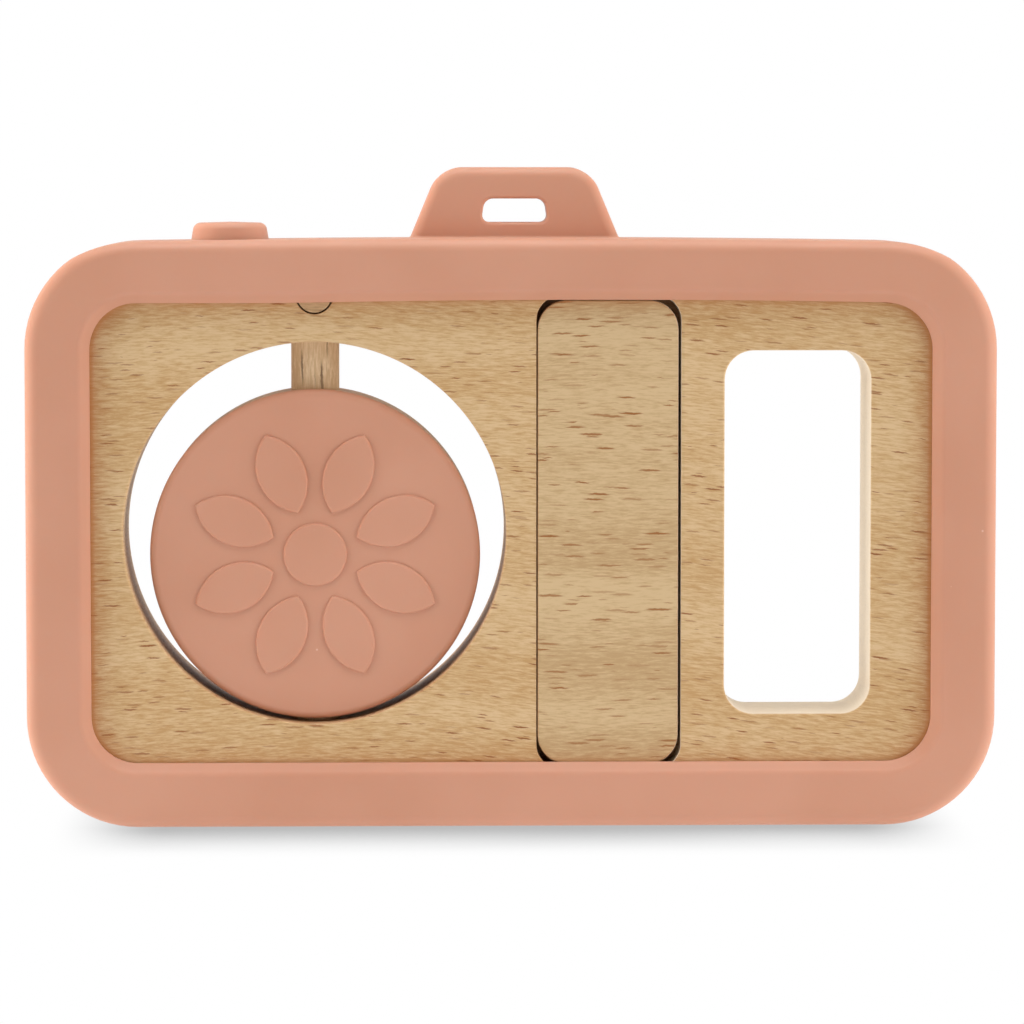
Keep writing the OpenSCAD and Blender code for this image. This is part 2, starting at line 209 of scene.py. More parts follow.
class CapSizes(bpy.types.PropertyGroup):
    """Sizes of the silicone caps on the lens disc."""

    thickness: size("Thickness", "Thickness of a cap without its relief", 1.5)
    drop: size("Drop", "How far the loose disc hangs below its drawn place", 0.27)
    shrink: size("Shrink", "How much smaller than drawn the disc's radius is", 0.12)
    rim_radius: size("Rim radius", "Rounding of a cap's rim", 1.1)
    relief_radius: size("Relief radius", "Rounding of the relief's edges", 0.3)
    petals: IntProperty(name="Petals", description="Number of petals of the daisy", default=8, min=3)
    petal_start: size("Petal start", "Distance from the disc's middle to a petal's near tip", 6.5)
    petal_end: size("Petal end", "Distance from the disc's middle to a petal's far tip", 18.7)
    petal_width: size("Petal width", "Width of a petal", 7)
    eye_radius: size("Eye radius", "Radius of the daisy's eye", 4.55)
    ring_width: size("Ring width", "Width of the raised rings on the front", 1.9)
    outer_ring: size("Outer ring", "Outer radius of the large ring", 21.1)
    inner_ring: size("Inner ring", "Outer radius of the small ring", 14.4)
    glass_radius: size("Glass radius", "Radius of the low dome in the middle", 9.6)


class ButtonSizes(bpy.types.PropertyGroup):
    """Sizes of the shutter button and of the hollow cone under it."""

    foot_diameter: size("Foot diameter", "Diameter where it leaves the flange", 12.2)
    top_diameter: size("Top diameter", "Diameter across the top, rounding included", 10.4)
    flange_thickness: size("Flange thickness", "Thickness of the flange under the bumper", 1.2)
    edge_radius: size("Edge radius", "Rounding of the top edge", 0.9)
    flange_radius: size("Flange rounding", "Rounding of the flange's edges", 0.2)
    crown: size("Crown", "How far the top rises in its middle", 0.15)
    cone_top_diameter: size("Cone top diameter", "Outer diameter of the cone at its top", 8.6)
    cone_wall: size("Cone wall", "Thickness of the cone's wall", 1)


class FinishColours(bpy.types.PropertyGroup):
    """Colours of the wood and of the silicone."""

    silicone: colour("Silicone", "Terracotta pink of the silicone", "#ca9176")
    silicone_pale: colour("Silicone pale", "Its paler clouds", "#cf977d")
    silicone_speck: colour("Silicone speck", "Dust and nicks on it", "#f2d3c2")
    beech: colour("Beech", "Ground colour of the plate", "#d6b78b")
    beech_deep: colour("Beech deep", "Darker fibres of the plate", "#bf9764")
    beech_fleck: colour("Beech fleck", "Flecks in the plate", "#8c5124")
    # Painted shade: the orange painted in the corner along the lips, where the lips shade the wood
    beech_lip_shade: colour("Beech lip shade", "Painted shade in the corner along the lips", "#b8763f")
    # Painted light: the pale colour of the windows' walls, as lit by the backdrop
    beech_wall_light: colour("Beech wall light", "Painted light on the windows' walls", "#f0e2cb")
    cover: colour("Cover", "Ground colour of the back cover", "#d0b388")
    cover_deep: colour("Cover deep", "Darker fibres of the back cover", "#bb9a6e")
    cover_fleck: colour("Cover fleck", "Flecks in the back cover", "#97602f")
    dowel: colour("Dowel", "Ground colour of the dowels", "#f8deb9")
    dowel_deep: colour("Dowel deep", "Darker fibres of the dowels", "#dbba90")
    dowel_fleck: colour("Dowel fleck", "Dark lines in the dowels", "#6b4a31")
    end_grain: colour("End grain", "Ground colour of the peg's and the knob's ends", "#d0ab80")
    end_deep: colour("End grain deep", "Darker pores of those ends", "#ac875e")


class StageSettings(bpy.types.PropertyGroup):
    """Camera, lights and floor."""

    camera_place: FloatVectorProperty(name="Camera place", description="Where the camera stands",
                                      default=(-17.93 * MM, -698.32 * MM, 93.11 * MM), subtype="TRANSLATION",
                                      unit="LENGTH")
    camera_pitch: FloatProperty(name="Camera pitch", description="How far the camera looks up",
                                default=math.radians(-3.941), subtype="ANGLE", unit="ROTATION")
    camera_yaw: FloatProperty(name="Camera yaw", description="How far the camera looks to the right",
                              default=math.radians(1.49), subtype="ANGLE", unit="ROTATION")
    lens: FloatProperty(name="Lens", description="Focal length in millimetres, on a 36 mm sensor",
                        default=168.67, unit="CAMERA")
    backdrop: brightness("Backdrop", "Strength of the white backdrop behind the toy", 0.72)
    room: brightness("Room", "Strength of the light from the room in front of the toy", 0.02)
    left_panel: brightness("Left panel", "Power of the left side of the light tent", 6.1, "POWER")
    right_panel: brightness("Right panel", "Power of the right side of the light tent", 5.6, "POWER")
    top_panel: brightness("Top panel", "Power of the roof of the light tent", 3.15, "POWER")
    panel_size: size("Panel size", "Width and height of a side of the light tent", 600)
    panel_distance: size("Panel distance", "Distance of the light tent's sides from the toy", 600)
    floor_glow: brightness("Floor glow", "Strength of the light from the white floor", 0.48)
    near_glow: brightness("Near glow", "Strength of that light right by the toy", 0.78)
    glow_reach: size("Glow reach", "Distance at which the floor's light is back to its plain strength", 150)
    shadow_reach: size("Shadow reach", "How far the toy's soft shadow spreads over the floor", 30)


class ToyCameraSettings(bpy.types.PropertyGroup):
    """All that a user can change on the toy camera."""

    bumper: PointerProperty(type=BumperSizes)
    lug: PointerProperty(type=LugSizes)
    plate: PointerProperty(type=PlateSizes)
    wood: PointerProperty(type=WoodSizes)
    caps: PointerProperty(type=CapSizes)
    button: PointerProperty(type=ButtonSizes)
    colours: PointerProperty(type=FinishColours)
    stage: PointerProperty(type=StageSettings)


# Shapes

def soften(bm, parts, radius, segments, affect="EDGES"):
    """Rounds edges by a radius, or the corners of an outline from that far along both sides."""
    bmesh.ops.bevel(bm, geom=parts, offset=radius, offset_type="OFFSET", segments=segments, profile=0.5,
                    affect=affect, material=-1)


def flat_face(points):
    """One flat face through points given as X and Z."""
    bm = bmesh.new()
    bm.faces.new([bm.verts.new((x, 0, z)) for x, z in points])
    return bm


def thicken(bm, low_y, high_y):
    """Pulls the flat face of a bmesh into a board from one Y to another."""
    bmesh.ops.translate(bm, vec=(0, low_y, 0), verts=bm.verts[:])
    pulled = bmesh.ops.extrude_face_region(bm, geom=bm.faces[:])["geom"]
    moved = [part for part in pulled if isinstance(part, bmesh.types.BMVert)]
    bmesh.ops.translate(bm, vec=(0, high_y - low_y, 0), verts=moved)
    bmesh.ops.recalc_face_normals(bm, faces=bm.faces[:])
    return bm


def board(low, high, radius, segments=10):
    """A board with rounded corners between two opposite corner points."""
    bm = flat_face([(low[0], low[2]), (high[0], low[2]), (high[0], high[2]), (low[0], high[2])])
    soften(bm, bm.verts[:], radius, segments, "VERTICES")
    return thicken(bm, low[1], high[1])


def rod(radius, start, end, segments=64):
    """A round bar between two points."""
    start, end = Vector(start), Vector(end)
    turn = (end - start).to_track_quat("Z", "Y").to_matrix().to_4x4()
    bm = bmesh.new()
    bmesh.ops.create_cone(bm, cap_ends=True, segments=segments, radius1=radius, radius2=radius,
                          depth=(end - start).length, matrix=Matrix.Translation((start + end) / 2) @ turn)
    return bm


def turned(profile, centre, axis, segments=96):
    """A lathe shape from a closed section of radius, height and, at soft corners, rounding and steps."""
    bm = bmesh.new()
    corners = [bm.verts.new((radius, 0, height)) for radius, height, *_ in profile]
    bm.faces.new(corners)
    for corner, (_, _, *arc) in zip(corners, profile):
        if arc and arc[0]:
            soften(bm, [corner], *arc, "VERTICES")
    bmesh.ops.delete(bm, geom=bm.faces[:], context="FACES_ONLY")
    on_axis = [edge for edge in bm.edges if all(abs(v.co.x) < TINY for v in edge.verts)]
    bmesh.ops.delete(bm, geom=on_axis, context="EDGES")
    bmesh.ops.spin(bm, geom=bm.verts[:] + bm.edges[:], cent=(0, 0, 0), axis=(0, 0, 1), angle=math.tau,
                   steps=segments, use_merge=True)
    bmesh.ops.remove_doubles(bm, verts=bm.verts[:], dist=TINY)
    turn = Vector(axis).to_track_quat("Z", "Y").to_matrix().to_4x4()
    bmesh.ops.transform(bm, matrix=Matrix.Translation(centre) @ turn, verts=bm.verts[:])
    bmesh.ops.recalc_face_normals(bm, faces=bm.faces[:])
    return bm


def combine(bm, tool, operation):
    """Cuts one solid from another, or joins them, and leaves the result in the first."""
    pair = []
    for solid in (bm, tool):
        mesh = bpy.data.meshes.new("solid")
        solid.to_mesh(mesh)
        pair.append(bpy.data.objects.new("solid", mesh))
        bpy.context.scene.collection.objects.link(pair[-1])
    tool.free()
    boolean = pair[0].modifiers.new("combine", "BOOLEAN")
    boolean.operation = operation
    boolean.solver = "EXACT"
    boolean.object = pair[1]
    made = bpy.data.meshes.new_from_object(pair[0].evaluated_get(bpy.context.evaluated_depsgraph_get()))
    bm.clear()
    bm.from_mesh(made)
    for mesh in [made] + [solid.data for solid in pair]:
        bpy.data.meshes.remove(mesh)
    return bm


def add_piece(name, bm, material):
    """Makes a finished solid an object of the scene, smooth except along its sharp edges."""
    mesh = bpy.data.meshes.new(name)
    bm.to_mesh(mesh)
    bm.free()
    mesh.shade_smooth()
    mesh.set_sharp_from_angle(angle=SHARP_ANGLE)
    mesh.materials.append(material)
    piece = bpy.data.objects.new(name, mesh)
    bpy.context.scene.collection.objects.link(piece)
    even = piece.modifiers.new("even normals", "WEIGHTED_NORMAL")
    even.keep_sharp = True
    return piece


def edges_at(bm, axis, level):
    """Edges that lie in one plane across an axis and turn a corner there."""
    return [edge for edge in bm.edges if edge.is_manifold and edge.calc_face_angle() > CORNER_ANGLE
            and all(abs(v.co[axis] - level) < TINY for v in edge.verts)]


# Finishes

# Sizes of the wood's patterns in millimetres. Those in threes run along the grain, along its rays and across.
SWAY_LENGTH, SWAY_REACH = 45, 3
WOBBLE_LENGTH, WOBBLE_REACH = 0.9, 0.35
BAND = (80, 30, 7)
# Real fibres are far finer: they are drawn this broad so that they show
FIBRE = (2.2, 2.2, 0.26)
# How far to the left of the middle the plate's grain runs level
LEVEL_AT = 45
# How far the painted shade spreads from the lips, and how far from the plate's ends it is strongest and
# weakest
SHADE_REACH, SHADE_MOST, SHADE_LEAST = 4, 9, 13
# Between these places along the width, the walls go from little to much painted light
UNLIT_TO, LIT_FROM = 10, 25
# Sizes of the silicone's patterns in millimetres
CLOUD, SPECK_CELL = 24, 4
# The mould's spark-eroded texture is finer: it is drawn this coarse so that it shows
MOULD_TEXTURE = 0.4
# The Mix node's colour inputs and output, which share their names with its other kinds
MIX_A, MIX_B, MIX_RESULT = 6, 7, 2


def fill(tree, node, inputs):
    """Sets a node's inputs and links those given a socket. A pair goes to the Min and Max of its name."""
    for name, value in inputs.items():
        if isinstance(value, tuple) and len(value) == 2:
            fill(tree, node, {name + " Min": value[0], name + " Max": value[1]})
        elif isinstance(value, bpy.types.NodeSocket):
            tree.links.new(value, node.inputs[name])
        else:
            node.inputs[name].default_value = value


def add_node(tree, kind, inputs, output=0, **settings):
    """Adds one shader node with its settings and returns one of its outputs."""
    node = tree.nodes.new("ShaderNode" + kind)
    for name, value in settings.items():
        setattr(node, name, value)
    fill(tree, node, inputs)
    return node.outputs[output]


def new_material(name):
    """An empty material, its node tree, its main shader, and the function that adds nodes to it."""
    material = bpy.data.materials.new(name)
    material.use_nodes = True
    tree = material.node_tree
    return material, tree, tree.nodes["Principled BSDF"], partial(add_node, tree)


def cells(add, place, grain, length, depth, width):
    """Coordinates in cells that have a length along the grain, a depth along its rays and a width across."""
    order = {"X": (length, depth, width), "Y": (depth, length, width), "Z": (width, depth, length)}[grain]
    # Turned after their stretch, so that the cells stand in no rows or columns
    return add("Mapping", {"Vector": place, "Scale": [1 / (side * MM) for side in order],
                           "Rotation": [math.radians(30)] * 3})


def beech(name, tones, grain, fleck_length, fleck_width, fleck_share, roughness, bend=0.0, fleck_reach=0.36,
          banding=0.35):
    """Beech with its grain along one axis: mottled fibres, broad bands and the short dark flecks of its rays.

    The tones are its ground, its darker fibres, its flecks, its painted shade along the lips and its painted
    light on the walls.
    """
    if name in bpy.data.materials:
        return bpy.data.materials[name]
    ground, deep, fleck, lip_shade, wall = tones
    material, tree, shader, add = new_material(name)
    place = add("TexCoord", {}, "Object")
    # The plate's grain is level by the lens and bends down towards the viewfinder. All grain sways a little.
    across = add("SeparateXYZ", {"Vector": place})
    beside = add("Math", {0: across, 1: LEVEL_AT * MM}, operation="ADD")
    square = add("Math", {0: beside, 1: beside}, operation="MULTIPLY")
    rise = add("Math", {0: square, 1: bend}, operation="MULTIPLY")
    bent = add("VectorMath", {0: place, 1: add("CombineXYZ", {"Z": rise})}, operation="ADD")
    sway = add("TexNoise", {"Vector": place, "Scale": 1 / (SWAY_LENGTH * MM), "Detail": 1.0}, "Color")
    swayed = add("VectorMath", {0: sway, 1: [SWAY_REACH * MM] * 3, 2: bent}, operation="MULTIPLY_ADD")
    # A finer wobble leaves the flecks' outlines ragged
    wobble = add("TexNoise", {"Vector": place, "Scale": 1 / (WOBBLE_LENGTH * MM), "Detail": 3.0,
                              "Roughness": 0.6}, "Color")
    ragged = add("VectorMath", {0: wobble, 1: [WOBBLE_REACH * MM] * 3, 2: swayed}, operation="MULTIPLY_ADD")
    # Each ray cell holds one fleck of its own length and darkness, or none
    ray_cells = cells(add, ragged, grain, fleck_length, fleck_length, fleck_width)
    rays = add("TexVoronoi", {"Vector": ray_cells, "Scale": 1.0})
    pick = add("SeparateColor", {"Color": rays.node.outputs["Color"]})
    reach = add("MapRange", {"Value": pick, "From": (1 - fleck_share, 1.0), "To": (0.02, fleck_reach)})
    dark_to = add("Math", {0: reach, 1: 0.5}, operation="MULTIPLY")
    spot = add("MapRange", {"Value": rays, "From": (dark_to, reach), "To": (1.0, 0.0)},
               interpolation_type="SMOOTHSTEP")
    darkness = add("MapRange", {"Value": pick.node.outputs["Green"], "To": (0.25, 1.0)})
    flecks = add("Math", {0: spot, 1: darkness}, operation="MULTIPLY")
    fibres = add("TexNoise", {"Vector": cells(add, swayed, grain, *FIBRE), "Scale": 1.0, "Detail": 4.0,
                              "Roughness": 0.7})
    bands = add("TexNoise", {"Vector": cells(add, swayed, grain, *BAND), "Scale": 1.0, "Detail": 2.0})
    both = add("Math", {0: bands, 1: banding, 2: fibres}, operation="MULTIPLY_ADD")
    tone = add("MapRange", {"Value": both, "From": (0.375 + banding / 2, 0.625 + banding / 2)})
    wood = add("Mix", {0: tone, MIX_A: deep, MIX_B: ground}, MIX_RESULT, data_type="RGBA")
    flecked = add("Mix", {0: flecks, MIX_A: wood, MIX_B: fleck}, MIX_RESULT, data_type="RGBA")
    # Painted shade: orange in the corners along the lips, found by ambient occlusion, most at the plate's
    # left and right
    corner = add("AmbientOcclusion", {"Distance": SHADE_REACH * MM}, "AO", samples=8)
    streaked = add("Math", {0: fibres, 1: 0.3, 2: corner}, operation="MULTIPLY_ADD")
    aside = add("Math", {0: across}, operation="ABSOLUTE")
    ends = (PLATE_HIGH.x - SHADE_LEAST * MM, PLATE_HIGH.x - SHADE_MOST * MM)
    side_shade = add("MapRange", {"Value": aside, "From": ends, "To": (0.35, 0.75)})
    lip_shade_mask = add("MapRange", {"Value": streaked, "From": (0.93, 1.1), "To": (side_shade, 0.0)},
                interpolation_type="SMOOTHSTEP")
    lip_shaded = add("Mix", {0: lip_shade_mask, MIX_A: flecked, MIX_B: lip_shade}, MIX_RESULT, data_type="RGBA")
    # Painted light: sideways walls are painted paler, as lit by the backdrop; much at the viewfinder, little
    # at the window
    wall_light_share = add("MapRange", {"Value": across, "From": (UNLIT_TO * MM, LIT_FROM * MM), "To": (0.1, 0.85)})
    normal = add("SeparateXYZ", {"Vector": place.node.outputs["Normal"]}, "Y")
    facing = add("Math", {0: normal}, operation="ABSOLUTE")
    lit_wall = add("MapRange", {"Value": facing, "From": (0.25, 0.75), "To": (wall_light_share, 0.0)})
    faced = add("Mix", {0: lit_wall, MIX_A: lip_shaded, MIX_B: wall}, MIX_RESULT, data_type="RGBA")
    sheen = add("MapRange", {"Value": fibres, "From": (0.3, 0.7), "To": (roughness + 0.06, roughness - 0.06)})
    # Fibres stand a little proud of the flecks, as after sanding
    height = add("Math", {0: flecks, 1: -1.0, 2: fibres}, operation="MULTIPLY_ADD")
    bump = add("Bump", {"Strength": 0.3, "Distance": 0.06 * MM, "Height": height})
    fill(tree, shader, {"Base Color": faced, "Roughness": sheen, "Normal": bump, "IOR": 1.47})
    return material


def plate_beech(colours):
    """Flat-sawn beech, sanded, with a light oil finish: a tan ground with short, nearly level flecks."""
    tones = (colours.beech, colours.beech_deep, colours.beech_fleck, colours.beech_lip_shade, colours.beech_wall_light)
    return beech("Beech, flat-sawn and sanded", tones, "X", fleck_length=4.3, fleck_width=0.47,
                 fleck_share=0.95, roughness=0.52, bend=0.7, fleck_reach=0.41)


def cover_beech(colours):
    """A greyer strip of beech, sanded, with stronger bands and longer flecks."""
    tones = (colours.cover, colours.cover_deep, colours.cover_fleck, colours.beech_lip_shade, colours.beech_wall_light)
    return beech("Beech strip, sanded", tones, "X", fleck_length=5, fleck_width=0.48, fleck_share=0.95,
                 roughness=0.56, fleck_reach=0.5, banding=0.6)


def dowel_beech(colours):
    """Raw turned dowel: pale upright grain with long dark lines."""
    # The darker fibres' colour doubles as painted shade in corners, and the ground as painted light on walls
    tones = (colours.dowel, colours.dowel_deep, colours.dowel_fleck, colours.dowel_deep, colours.dowel)
    return beech("Beech dowel, turned", tones, "Z", fleck_length=8, fleck_width=0.5, fleck_share=0.95,
                 roughness=0.6, fleck_reach=0.5)


def end_beech(colours):
    """Turned beech seen on its end grain, where the rays are short lines."""
    # The darker pores' colour doubles as painted shade in corners, and the ground as painted light on walls
    tones = (colours.end_grain, colours.end_deep, colours.dowel_fleck, colours.end_deep, colours.end_grain)
    return beech("Beech end grain, turned", tones, "Y", fleck_length=2, fleck_width=0.4, fleck_share=0.7,
                 roughness=0.6)


def silicone(colours):
    """Moulded silicone rubber: matt, faintly clouded, translucent at its edges, with a little dust on it."""
    name = "Silicone rubber, moulded"
    if name in bpy.data.materials:
        return bpy.data.materials[name]
    material, tree, shader, add = new_material(name)
    place = add("TexCoord", {}, "Object")
    clouds = add("TexNoise", {"Vector": place, "Scale": 1 / (CLOUD * MM), "Detail": 2.0})
    tone = add("MapRange", {"Value": clouds, "From": (0.35, 0.65)})
    body = add("Mix", {0: tone, MIX_A: colours.silicone, MIX_B: colours.silicone_pale}, MIX_RESULT,
               data_type="RGBA")
    # Three cells in ten have a speck, with a radius of up to a quarter of a millimetre
    dust = add("TexVoronoi", {"Vector": place, "Scale": 1 / (SPECK_CELL * MM)})
    pick = add("SeparateColor", {"Color": dust.node.outputs["Color"]})
    reach = add("MapRange", {"Value": pick, "From": (0.7, 1.0), "To": (0.002, 0.06)})
    specks = add("MapRange", {"Value": dust, "From": (0.0, reach), "To": (0.7, 0.0)})
    dusty = add("Mix", {0: specks, MIX_A: body, MIX_B: colours.silicone_speck}, MIX_RESULT, data_type="RGBA")
    texture = add("TexNoise", {"Vector": place, "Scale": 1 / (MOULD_TEXTURE * MM), "Detail": 2.0})
    matt = add("MapRange", {"Value": texture, "From": (0.3, 0.7), "To": (0.42, 0.52)})
    bump = add("Bump", {"Strength": 0.15, "Distance": 0.03 * MM, "Height": texture})
    fill(tree, shader, {"Base Color": dusty, "Roughness": matt, "Normal": bump, "IOR": 1.41,
                        "Subsurface Weight": 0.25, "Subsurface Radius": (1.0, 0.45, 0.3),
                        "Subsurface Scale": 1.5 * MM})
    return material


def paper_white(stage):
    """White paper lit from below. The camera sees pure white with a soft shadow where the toy stands."""
    material, tree, shader, add = new_material("Paper, white")
    across = add("SeparateXYZ", {"Vector": add("TexCoord", {}, "Object")})
    # The lamp under the paper is right below the toy
    away = add("Math", {0: across.node.outputs["Y"]}, operation="ABSOLUTE")
    glow = add("MapRange", {"Value": away, "From": (0.0, stage.glow_reach),
                            "To": (stage.near_glow, stage.floor_glow)}, interpolation_type="SMOOTHSTEP")
    fill(tree, shader, {"Base Color": linear("#a0a0a0"), "Roughness": 0.9, "Specular IOR Level": 0.0,
                        "Emission Color": linear("#ffffff"), "Emission Strength": glow})
    open_sky = add("AmbientOcclusion", {"Distance": stage.shadow_reach}, "AO", samples=16)
    steep = add("Math", {0: open_sky, 1: 1.35}, operation="POWER")
    shade = add("Math", {0: steep, 1: 0.5}, operation="MAXIMUM")
    # It ends with the straight run of the underside: the round corners stand clear of the paper
    aside = add("Math", {0: across}, operation="ABSOLUTE")
    ends = (0.74 * PLATE_HIGH.x, PLATE_HIGH.x)
    shadow = add("MapRange", {"Value": aside, "From": ends, "To": (shade, 1.0)},
                 interpolation_type="SMOOTHSTEP")
    seen = add("Emission", {"Color": linear("#ffffff"), "Strength": shadow})
    camera_ray = add("LightPath", {}, "Is Camera Ray")
    both = add("MixShader", {0: camera_ray, 1: shader.outputs["BSDF"], 2: seen})
    tree.links.new(both, tree.nodes["Material Output"].inputs["Surface"])
    return material


# Operators

class TOYCAMERA_OT_stage(bpy.types.Operator):
    """Sets up the camera, the white floor and the soft light"""

    bl_idname = "toy_camera.stage"
    bl_label = "Stage"

    def execute(self, context):
        stage = context.scene.toy_camera.stage
        context.scene.view_settings.view_transform = "Standard"
        camera = bpy.data.objects.new("camera", bpy.data.cameras.new("camera"))
        camera.data.lens = stage.lens
        camera.location = stage.camera_place
        camera.rotation_euler = (QUARTER_TURN + stage.camera_pitch, 0, -stage.camera_yaw)
        context.scene.collection.objects.link(camera)
        context.scene.camera = camera
        self.add_floor(context, stage)
        self.add_light(context, stage)
        return {"FINISHED"}

    def add_floor(self, context, stage):
        bm = bmesh.new()
        bmesh.ops.create_grid(bm, x_segments=1, y_segments=1, size=FLOOR_REACH)
        mesh = bpy.data.meshes.new("floor")
        bm.to_mesh(mesh)
        bm.free()
        mesh.materials.append(paper_white(stage))
        floor = bpy.data.objects.new("floor", mesh)
        context.scene.collection.objects.link(floor)

    def add_light(self, context, stage):
        """A light tent: soft panels left, right and above, a white backdrop, and a dim room in front."""
        # The sides don't mirror in the silicone, which would wash its top out as seen from the other side
        panels = {"left panel": (stage.left_panel, Vector((-1, -0.1, 0.1)), 1.0, False),
                  "right panel": (stage.right_panel, Vector((1, -0.3, 0.05)), 1.0, False),
                  "top panel": (stage.top_panel, Vector((0, -0.19, 1)), 0.72, True)}
        for name, (power, side, share, mirrors) in panels.items():
            lamp = bpy.data.objects.new(name, bpy.data.lights.new(name, "AREA"))
            lamp.data.energy = power
            lamp.data.shape = "RECTANGLE"
            lamp.data.size = stage.panel_size
            lamp.data.size_y = stage.panel_size * share
            lamp.location = PLATE_MIDDLE + side * stage.panel_distance
            lamp.rotation_euler = (-side).to_track_quat("-Z", "Y").to_euler()
            lamp.visible_glossy = mirrors
            context.scene.collection.objects.link(lamp)
        world = bpy.data.worlds.new("studio")
        world.use_nodes = True
        tree = world.node_tree
        add = partial(add_node, tree)
        # The backdrop fades into the room at the tent's open front. The camera itself sees plain white.
        depth = add("SeparateXYZ", {"Vector": add("TexCoord", {}, "Generated")}, "Y")
        light = add("MapRange", {"Value": depth, "From": (-0.1, 0.4), "To": (stage.room, stage.backdrop)},
                    interpolation_type="SMOOTHSTEP")
        camera_ray = add("LightPath", {}, "Is Camera Ray")
        strength = add("MapRange", {"Value": camera_ray, "To": (light, 1.0)})
        fill(tree, tree.nodes["Background"], {"Color": linear("#ffffff"), "Strength": strength})
        context.scene.world = world


class TOYCAMERA_OT_bumper(bpy.types.Operator):
    """Moulds the silicone ring round the plate, with its strap lug and the hole for the button"""

    bl_idname = "toy_camera.bumper"
    bl_label = "Bumper"

    def execute(self, context):
        settings = context.scene.toy_camera
        bm = self.ring(settings.bumper)
        combine(bm, self.lug(settings.lug), "UNION")
        half_base = settings.lug.base_width / 2 + TINY
        root = [edge for edge in edges_at(bm, 2, RING_TOP) if not edge.is_convex
                and all(abs(v.co.x - settings.lug.shift) < half_base for v in edge.verts)]
        soften(bm, root, settings.lug.root_radius, 4)
        hole_radius = settings.button.foot_diameter / 2 + settings.bumper.button_gap
        over = settings.bumper.wall
        hole = rod(hole_radius, (BUTTON_X, 0, PLATE_HIGH.z - over), (BUTTON_X, 0, RING_TOP + over))
        combine(bm, hole, "DIFFERENCE")
        rim = [edge for edge in edges_at(bm, 2, RING_TOP)
               if all(abs(v.co.x - BUTTON_X) < hole_radius + TINY for v in edge.verts)]
        soften(bm, rim, settings.bumper.rim_radius, 3)
        self.bow(bm, settings.bumper)
        piece = add_piece("bumper_silicone", bm, silicone(settings.colours))
        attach(piece, "camera_body")
        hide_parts("bumper")
        return {"FINISHED"}

    def ring(self, sizes):
        """Carries a C-shaped section once round the plate."""
        inner = sizes.corner_radius - sizes.lip_width
        wall = sizes.corner_radius - sizes.wall
        face = BUMPER_HIGH.y
        under = face - sizes.lip_thickness
        half_run = BUMPER_HIGH.x - sizes.corner_radius
        high_z = RING_TOP - sizes.corner_radius
        section = [(sizes.corner_radius, face), (inner + sizes.lip_chamfer, face),
                   (inner, under + sizes.lip_foot), (inner, under), (wall, under)]
        section += [(reach, -y) for reach, y in reversed(section)]
        bm = bmesh.new()
        corners = [bm.verts.new((-half_run, y, high_z + reach)) for reach, y in section]
        bm.faces.new(corners)
        soften(bm, [corners[0], corners[-1]], sizes.edge_radius, 6, "VERTICES")
        soften(bm, [corners[1], corners[-2]], sizes.lip_radius, 4, "VERTICES")
        bmesh.ops.delete(bm, geom=bm.faces[:], context="FACES_ONLY")
        edges = bm.edges[:]
        place = Vector((-half_run, 0, high_z))
        for x, z in ((half_run, high_z), (half_run, sizes.corner_radius), (-half_run, sizes.corner_radius),
                     (-half_run, high_z)):
            corner = Vector((x, 0, z))
            for angle, run in ((0, corner - place), (QUARTER_TURN, Vector())):
                swept = bmesh.ops.spin(bm, geom=edges, cent=corner, axis=(0, 1, 0), angle=angle,
                                       steps=RING_STEPS, dvec=run / RING_STEPS)
                edges = [part for part in swept["geom_last"] if isinstance(part, bmesh.types.BMEdge)]
            place = corner
        bmesh.ops.remove_doubles(bm, verts=bm.verts[:], dist=TINY)
        bmesh.ops.recalc_face_normals(bm, faces=bm.faces[:])
        return bm

    def lug(self, sizes):
        """A tapered tab with a slot through it, whose root runs down into the ring's wall."""
        root = PLATE_HIGH.z + (RING_TOP - PLATE_HIGH.z) / 2
        tip = BUMPER_HIGH.z - sizes.sink
        rise = tip - RING_TOP
        lean = math.atan((sizes.base_width - sizes.top_width) / 2 / rise)
        root_half = sizes.base_width / 2 + (RING_TOP - root) * math.tan(lean)
        top_half = sizes.top_width / 2
        bm = flat_face([(-root_half, root), (root_half, root), (top_half, tip), (-top_half, tip)])
        top = [v for v in bm.verts if v.co.z > RING_TOP]
        soften(bm, top, sizes.corner_radius * math.tan((QUARTER_TURN - lean) / 2), 12, "VERTICES")
        half_t = sizes.thickness / 2
        thicken(bm, -half_t, half_t)
        outline = [edge for y in (-half_t, half_t) for edge in edges_at(bm, 1, y)
                   if any(v.co.z > root + TINY for v in edge.verts)]
        soften(bm, outline, sizes.edge_radius, 5)
        low = RING_TOP + sizes.slot_rise - sizes.slot_height / 2
        high = low + sizes.slot_height
        slot = flat_face([(-sizes.slot_width / 2, low), (sizes.slot_width / 2, low),
                          (sizes.slot_top_width / 2, high), (-sizes.slot_top_width / 2, high)])
        soften(slot, slot.verts[:], sizes.slot_radius, 6, "VERTICES")
        combine(bm, thicken(slot, -sizes.thickness, sizes.thickness), "DIFFERENCE")
        rim = [edge for y in (-half_t, half_t) for edge in edges_at(bm, 1, y)]
        soften(bm, rim, sizes.slot_rim_radius, 3)
        bmesh.ops.translate(bm, vec=(sizes.shift, 0, 0), verts=bm.verts[:])
        return bm

    def bow(self, bm, sizes):
        """Lets the soft top sag towards its corners, and lifts the lips below it in their middle."""
        lip_edge = RING_TOP - sizes.lip_width
        for vert in bm.verts:
            share = min(max((vert.co.z - PLATE_HIGH.z) / (RING_TOP - PLATE_HIGH.z), 0), 1)
            vert.co.z -= sizes.top_bow * share * (vert.co.x / PLATE_HIGH.x) ** 2
            if PLATE_HIGH.z > vert.co.z > lip_edge - TINY:
                share = (PLATE_HIGH.z - vert.co.z) / (PLATE_HIGH.z - lip_edge)
                along = (vert.co.x - sizes.lip_bow_x) / sizes.lip_bow_reach
                vert.co.z += sizes.lip_bow * share * max(1 - along ** 2, 0)


